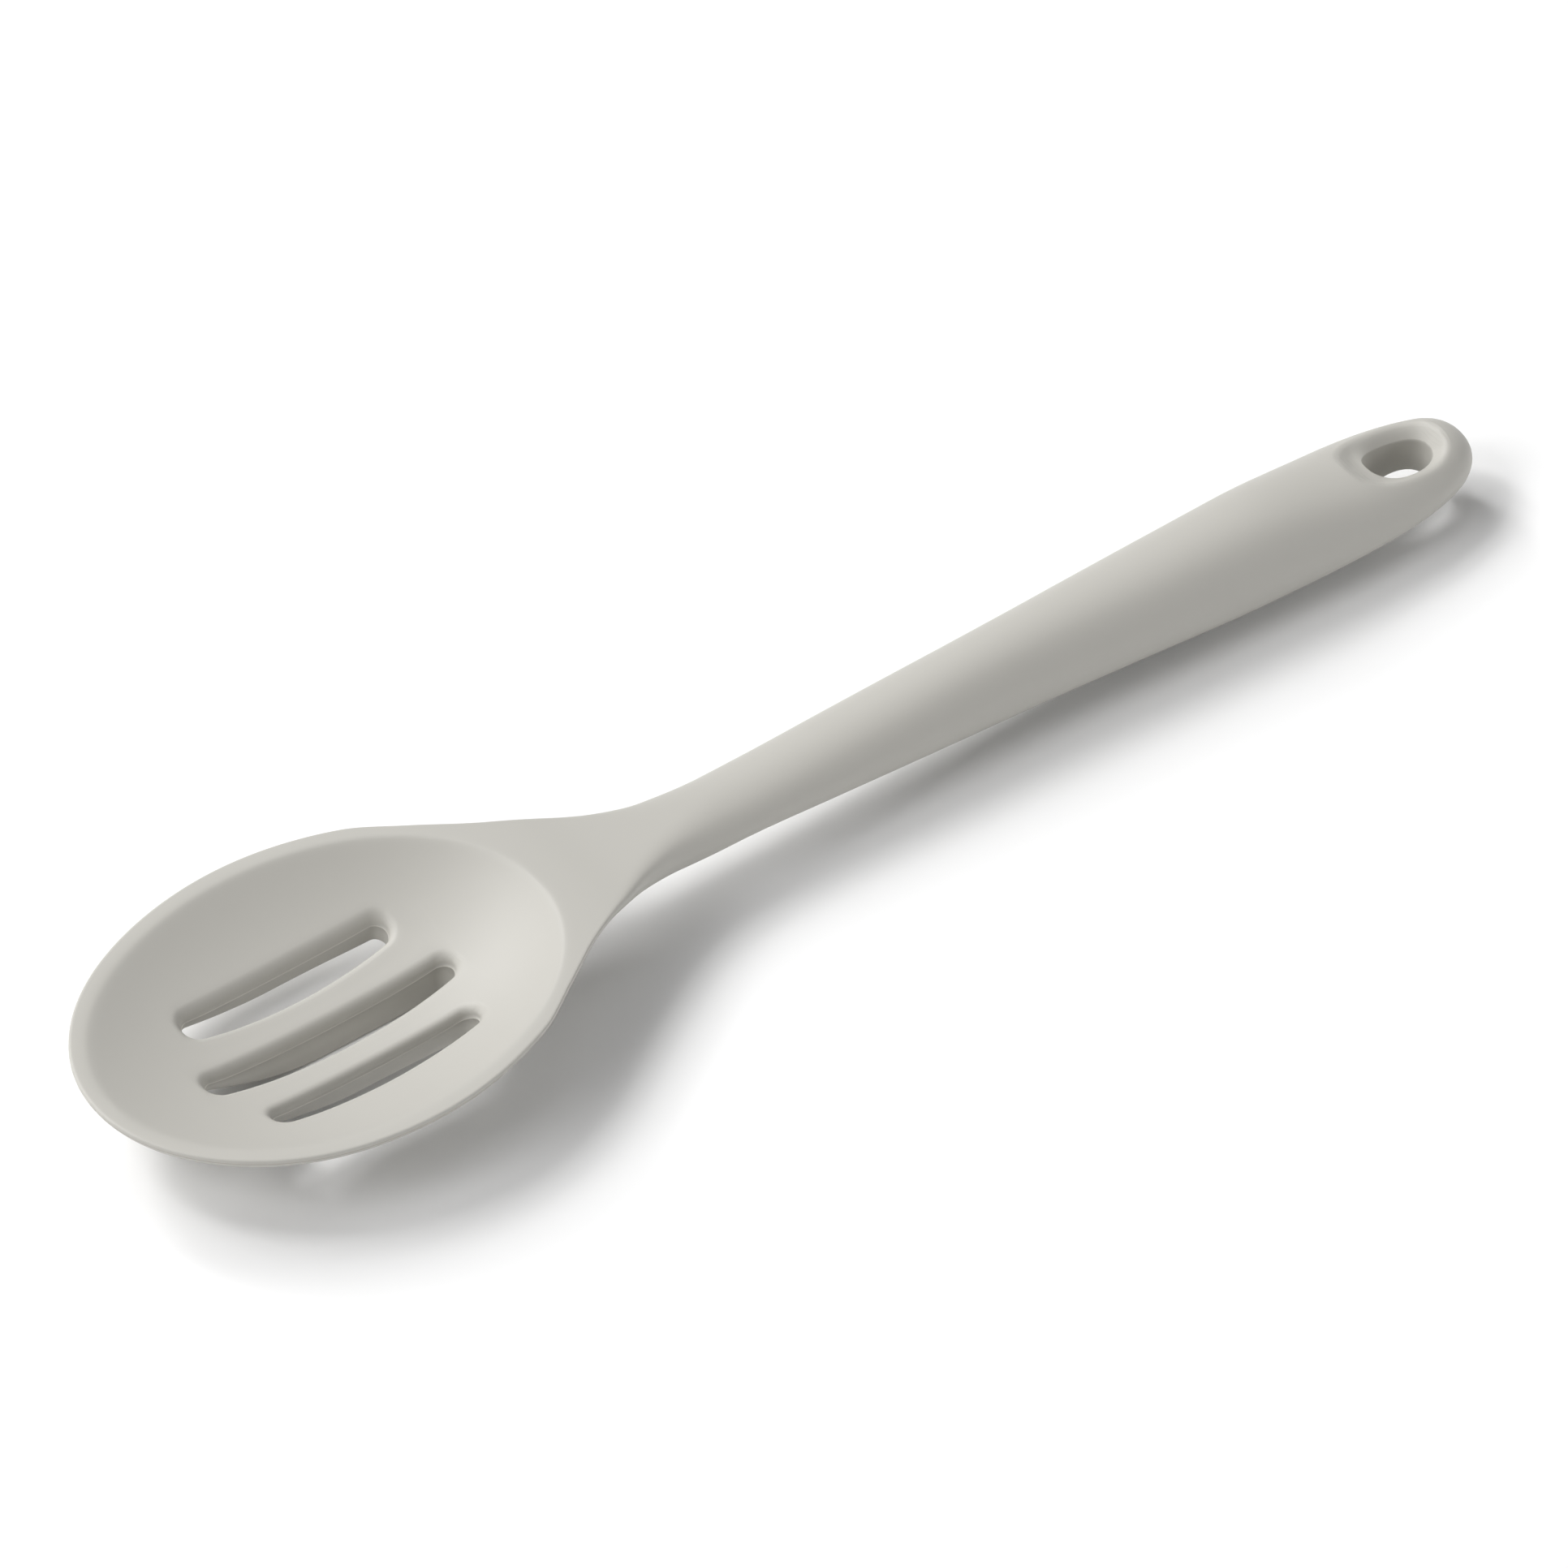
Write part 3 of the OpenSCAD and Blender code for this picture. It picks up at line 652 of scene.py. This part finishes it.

# %% [markdown]
# ## Moulded silicone
#
# The skin is liquid silicone rubber, cured in a steel mould whose faces were finely blasted. That gives
# an even, soft sheen without a mirror image and a slightly warm grey. Its refractive index is about
# 1.41. The blasted grain is finer than a render can show, so it is drawn 0.35 mm wide, as a faint bump.
# Where the mould's parts meet, the line under the rim is painted a little darker than the skin: partly
# the parting line's own tint and partly painted shade under the rim's edge. The ridge in the slots is
# painted a little lighter, as a painted highlight where it catches the light. Both are marks on the
# mesh's points, because they follow its lines.


# %% Colours and nodes
def linear(hex_colour):
    """An sRGB hex colour as linear values: the sRGB curve undone."""
    s = np.array([int(hex_colour[i:i + 2], 16) for i in (1, 3, 5)]) / 255
    return (*np.where(s <= 0.04045, s / 12.92, ((s + 0.055) / 1.055) ** 2.4).tolist(), 1.0)


def node(tree, kind, settings=None, links=None):
    """Adds a node, gives its sockets and properties their settings, and links other nodes to it."""
    n = tree.nodes.new(kind)
    for key, value in (settings or {}).items():
        if isinstance(key, str) and hasattr(n, key):
            setattr(n, key, value)
        else:
            n.inputs[key].default_value = value
    for key, source in (links or {}).items():
        tree.links.new(source, n.inputs[key])
    return n


def material(name):
    """An empty material and its node tree, with all nodes cleared."""
    m = bpy.data.materials.new(name)
    m.use_nodes = True
    m.node_tree.nodes.clear()
    return m, m.node_tree


print("mid grey in linear values:", np.round(linear("#808080"), 3))

# %% Moulded silicone
# The second colour is the darker line under the rim: partly the parting line's own tint, partly painted
# shade under the rim's edge. The third is a painted highlight on the slots' ridge.
SILICONE, PARTING_LINE_AND_SHADE, RIDGE_HIGHLIGHT = "#b8b6b0", "#8f8679", "#e4e1da"
GRAIN_MM, GRAIN_RISE_MM, LINE_SHARE = 0.35, 0.02, 0.8
silicone, tree = material("moulded_silicone")
where = node(tree, "ShaderNodeTexCoord")
grain = node(tree, "ShaderNodeTexNoise", {"Scale": 1 / (GRAIN_MM * MM), "Detail": 2.0},
             {"Vector": where.outputs["Object"]})
bump = node(tree, "ShaderNodeBump", {"Strength": 0.12, "Distance": GRAIN_RISE_MM * MM},
            {"Height": grain.outputs["Fac"]})
# The line under the rim is painted darker: partly the parting line's own tint, partly painted shade under
# the rim's edge.
line = node(tree, "ShaderNodeAttribute", {"attribute_name": "parting_line_and_shade"})
strength = node(tree, "ShaderNodeMath", {"operation": "MULTIPLY", 1: LINE_SHARE},
                {0: line.outputs["Fac"]})
rim = node(tree, "ShaderNodeMix", {"data_type": "RGBA", 6: linear(SILICONE), 7: linear(PARTING_LINE_AND_SHADE)},
           {0: strength.outputs[0]})
# A painted highlight: the slots' ridge is painted lighter where it catches the light.
line = node(tree, "ShaderNodeAttribute", {"attribute_name": "ridge_highlight"})
ridge_highlight_mix = node(tree, "ShaderNodeMix", {"data_type": "RGBA", 7: linear(RIDGE_HIGHLIGHT)},
            {0: line.outputs["Fac"], 6: rim.outputs[2]})
shader = node(tree, "ShaderNodeBsdfPrincipled",
              {"Roughness": 0.5, "IOR": 1.41, "Specular IOR Level": 0.4},
              {"Base Color": ridge_highlight_mix.outputs[2], "Normal": bump.outputs["Normal"]})
node(tree, "ShaderNodeOutputMaterial", {}, {"Surface": shader.outputs["BSDF"]})
skin.data.materials.append(silicone)
print("silicone colour:", np.round(linear(SILICONE), 3))

# %% [markdown]
# ## The core
#
# The core is glass-filled nylon, moulded before the skin. It can't be seen in the finished spoon, and
# it stays the CAD solid. It gets its own matt grey, for anyone who cuts the spoon open.

# %% Glass-filled nylon
nylon, tree = material("glass_filled_nylon")
shader = node(tree, "ShaderNodeBsdfPrincipled",
              {"Base Color": linear("#77736c"), "Roughness": 0.6, "IOR": 1.53})
node(tree, "ShaderNodeOutputMaterial", {}, {"Surface": shader.outputs["BSDF"]})
core = frame["nodes"]["stiff_core"]
core.data.materials.clear()
core.data.materials.append(nylon)
print("core:", core.name, len(core.data.polygons), "faces")

# %% [markdown]
# ## Floor, light and camera
#
# The spoon lies on a plain white table. Soft window light comes from behind it, so that the shadows
# fall towards the viewer and grow softer with distance. It is drawn as nine squares of light instead of
# one, because the power of each can then be matched to a part of the shadow. Larger and dimmer walls,
# boards and a ceiling keep the shaded sides from turning black. The camera was fitted to the spoon's
# outline in the photograph: it looks down at 44 degrees through a long lens, 3.3 m away.

# %% White table
table, tree = material("white_table")
shader = node(tree, "ShaderNodeBsdfPrincipled",
              {"Base Color": linear("#f4f4f4"), "Roughness": 0.8, "Specular IOR Level": 0.1})
node(tree, "ShaderNodeOutputMaterial", {}, {"Surface": shader.outputs["BSDF"]})
HALF_TABLE = 12.0
print("table's width:", 2 * HALF_TABLE, "m")
corners = [(-1, -1), (1, -1), (1, 1), (-1, 1)]
floor_mesh = bpy.data.meshes.new("table_top")
floor_mesh.from_pydata([(HALF_TABLE * a, HALF_TABLE * b, 0) for a, b in corners], [], [(0, 1, 2, 3)])
floor_mesh.materials.append(table)
floor = bpy.data.objects.new("table_top", floor_mesh)
bpy.context.scene.collection.objects.link(floor)

# %% Soft light
LIGHT_AWAY = 5.0


def area_light(name, azimuth, elevation, size, power):
    """A square light, turned to face the spoon. The azimuth counts from the handle's side towards the
    spoon's far edge, the elevation from the table, both in degrees."""
    a, e = np.radians(azimuth), np.radians(elevation)
    direction = Vector((np.cos(a) * np.cos(e), np.sin(a) * np.cos(e), np.sin(e)))
    data = bpy.data.lights.new(name, "AREA")
    data.size, data.energy = size, power
    lamp = bpy.data.objects.new(name, data)
    lamp.location = direction * LIGHT_AWAY
    lamp.rotation_euler = direction.to_track_quat("Z", "Y").to_euler()
    bpy.context.scene.collection.objects.link(lamp)


# Name, azimuth, elevation, size in metres, power in watts
LIGHTS = [
    ("window_low_right", 95, 33, 0.9, 54), ("window_low_left", 110, 34, 1.0, 12),
    ("window_right", 85, 44, 1.0, 32), ("window_middle", 103, 44, 1.0, 17),
    ("window_left", 122, 44, 1.0, 39), ("window_far_left", 135, 44, 1.0, 26),
    ("window_top_right", 85, 54, 1.0, 17), ("window_top_middle", 110, 54, 1.0, 13),
    ("window_top_left", 135, 54, 1.0, 40), ("wall_behind_bowl", 180, 40, 2.25, 62),
    ("wall_left", 165, 40, 2.25, 45), ("wall_behind_handle", 0, 40, 2.25, 15),
    ("board_behind_bowl", 195, 22, 2.25, 14), ("board_at_handle", 0, 12, 2.25, 20),
    ("board_in_front", -40, 12, 2.25, 47), ("board_higher", -60, 25, 2.25, 33),
    ("board_near_bowl", -140, 12, 2.25, 18), ("ceiling", 0, 88, 2.25, 16),
]
for settings in LIGHTS:
    area_light(*settings)
world = bpy.data.worlds.new("bright_room")
world.use_nodes = True
world.node_tree.nodes["Background"].inputs["Color"].default_value = linear("#ffffff")
world.node_tree.nodes["Background"].inputs["Strength"].default_value = 0.01
bpy.context.scene.world = world
bpy.context.scene.view_settings.view_transform = "Standard"
print("lights:", len(LIGHTS), "watts:", sum(v[-1] for v in LIGHTS))

# %% Camera
AZIMUTH, ELEVATION = np.radians(-36.665), np.radians(43.786)
ca, sa, ce, se = np.cos(AZIMUTH), np.sin(AZIMUTH), np.cos(ELEVATION), np.sin(ELEVATION)
RIGHT, UP, BACK = Vector((ca, sa, 0)), Vector((-sa * se, ca * se, ce)), Vector((sa * ce, -ca * ce, se))
DISTANCE = 3337 * MM
TARGET = Vector((0, 0, 10 * MM))
camera_data = bpy.data.cameras.new("camera")
camera_data.sensor_width, camera_data.lens = 36.0, 448.7
camera_data.shift_x, camera_data.shift_y = -0.00616, -0.00209
camera_data.clip_end = 50
camera = bpy.data.objects.new("camera", camera_data)
camera.matrix_world = Matrix.Translation(TARGET + BACK * DISTANCE) @ Matrix(
    (RIGHT, UP, BACK)).transposed().to_4x4()
bpy.context.scene.collection.objects.link(camera)
bpy.context.scene.camera = camera
print("camera at", [round(v, 3) for v in camera.location])
